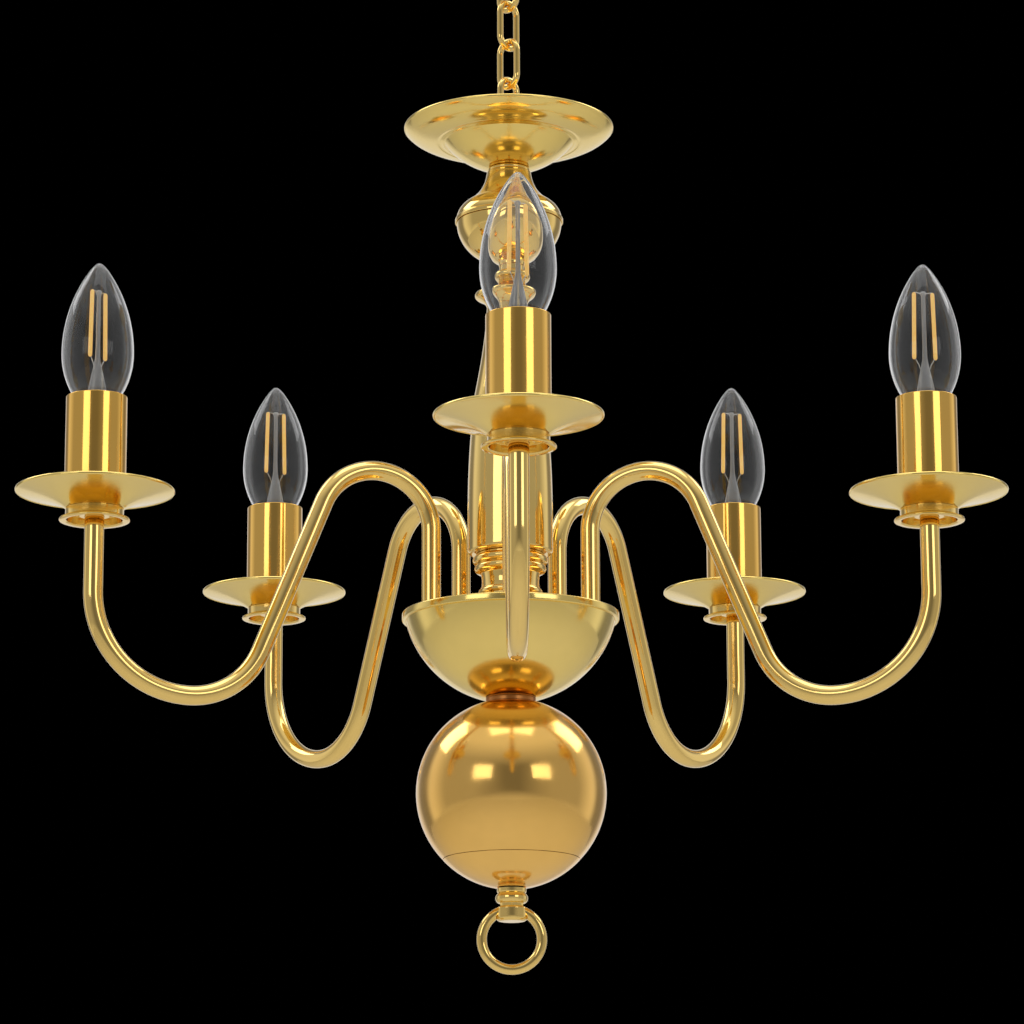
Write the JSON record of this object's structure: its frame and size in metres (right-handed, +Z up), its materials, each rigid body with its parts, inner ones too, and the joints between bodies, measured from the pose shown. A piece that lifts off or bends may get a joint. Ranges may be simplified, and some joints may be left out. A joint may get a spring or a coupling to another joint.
{
  "type": "chandelier",
  "caption": "Polished brass hanging chandelier with curved candle arms, drip pans, clear filament candle bulbs, a baluster stem, a bowl, a ball and a ring finial on a chain.",
  "frame": {"origin": "centre of the ceiling plate's face, where it meets the ceiling", "axes": "+Z up, -Y towards the viewer along the first arm, +X to the viewer's right"},
  "size_m": [0.4802, 0.4605, 0.5614],
  "materials": {
    "polished_gold": "polished",
    "ball_gold": "polished",
    "bulb_glass": "clear",
    "filament": "satin",
    "nickel": "polished",
    "steel": "satin",
    "holder_black": "matte",
    "ivory_plastic": "matte",
    "lead_white": "matte"
  },
  "bodies": {
    "ceiling_fitting": {"ceiling_plate": "polished_gold", "ceiling_hook": "polished_gold"},
    "link_1": {"chain_link_1": "polished_gold"},
    "link_2": {"chain_link_2": "polished_gold"},
    "link_3": {"chain_link_3": "polished_gold"},
    "link_4": {"chain_link_4": "polished_gold"},
    "link_5": {"chain_link_5": "polished_gold"},
    "chandelier": {"hanging_loop": "polished_gold", "top_dish": "polished_gold", "dish_collar": "polished_gold", "baluster_top": "polished_gold", "baluster_cup": "polished_gold", "waist_ring": "polished_gold", "column": "polished_gold", "column_base": "polished_gold", "bowl_cover": "polished_gold", "bowl": "polished_gold", "arm_1": "polished_gold", "arm_2": "polished_gold", "arm_3": "polished_gold", "arm_4": "polished_gold", "arm_5": "polished_gold", "arm_nuts": "steel", "arm_leads": "lead_white", "terminal_block": "ivory_plastic", "centre_rod": "steel", "rod_nuts": "steel", "ball_spacer": "polished_gold", "ball_upper": "ball_gold", "ball_cap": "ball_gold", "finial": "polished_gold", "drip_pan_1": "polished_gold", "drip_pan_2": "polished_gold", "drip_pan_3": "polished_gold", "drip_pan_4": "polished_gold", "drip_pan_5": "polished_gold", "candle_sleeve_1": "polished_gold", "candle_sleeve_2": "polished_gold", "candle_sleeve_3": "polished_gold", "candle_sleeve_4": "polished_gold", "candle_sleeve_5": "polished_gold", "lampholders": "holder_black", "pan_cups": "polished_gold"},
    "bulb_1": {"bulb_1_cap": "nickel", "bulb_1_glass": "bulb_glass", "bulb_1_filaments": "filament"},
    "bulb_2": {"bulb_2_cap": "nickel", "bulb_2_glass": "bulb_glass", "bulb_2_filaments": "filament"},
    "bulb_3": {"bulb_3_cap": "nickel", "bulb_3_glass": "bulb_glass", "bulb_3_filaments": "filament"},
    "bulb_4": {"bulb_4_cap": "nickel", "bulb_4_glass": "bulb_glass", "bulb_4_filaments": "filament"},
    "bulb_5": {"bulb_5_cap": "nickel", "bulb_5_glass": "bulb_glass", "bulb_5_filaments": "filament"},
    "ring": {"finial_ring": "polished_gold"}
  },
  "joints": [
    {"name": "link_1_swing", "type": "hinge", "parent": "ceiling_fitting", "child": "link_1", "pos_m": [0, 0, -0.02325], "axis": [0.7071, -0.7071, 0], "range_deg": [-45, 45]},
    {"name": "link_2_swing", "type": "hinge", "parent": "link_1", "child": "link_2", "pos_m": [0, 0, -0.04405], "axis": [0.7071, 0.7071, 0], "range_deg": [-45, 45]},
    {"name": "link_3_swing", "type": "hinge", "parent": "link_2", "child": "link_3", "pos_m": [0, 0, -0.06485], "axis": [0.7071, -0.7071, 0], "range_deg": [-45, 45]},
    {"name": "link_4_swing", "type": "hinge", "parent": "link_3", "child": "link_4", "pos_m": [0, 0, -0.08565], "axis": [0.7071, 0.7071, 0], "range_deg": [-45, 45]},
    {"name": "link_5_swing", "type": "hinge", "parent": "link_4", "child": "link_5", "pos_m": [0, 0, -0.10645], "axis": [0.7071, -0.7071, 0], "range_deg": [-45, 45]},
    {"name": "chandelier_swing", "type": "hinge", "parent": "link_5", "child": "chandelier", "pos_m": [0, 0, -0.12725], "axis": [0.7071, 0.7071, 0], "range_deg": [-30, 30]},
    {"name": "bulb_1_out", "type": "slide", "parent": "chandelier", "child": "bulb_1", "axis": [0, 0, 1], "range_m": [0, 0.04]},
    {"name": "bulb_2_out", "type": "slide", "parent": "chandelier", "child": "bulb_2", "axis": [0, 0, 1], "range_m": [0, 0.04]},
    {"name": "bulb_3_out", "type": "slide", "parent": "chandelier", "child": "bulb_3", "axis": [0, 0, 1], "range_m": [0, 0.04]},
    {"name": "bulb_4_out", "type": "slide", "parent": "chandelier", "child": "bulb_4", "axis": [0, 0, 1], "range_m": [0, 0.04]},
    {"name": "bulb_5_out", "type": "slide", "parent": "chandelier", "child": "bulb_5", "axis": [0, 0, 1], "range_m": [0, 0.04]},
    {"name": "ring_swing", "type": "hinge", "parent": "chandelier", "child": "ring", "pos_m": [0, 0, -0.5295], "axis": [1, 0, 0], "range_deg": [-60, 60]}
  ]
}
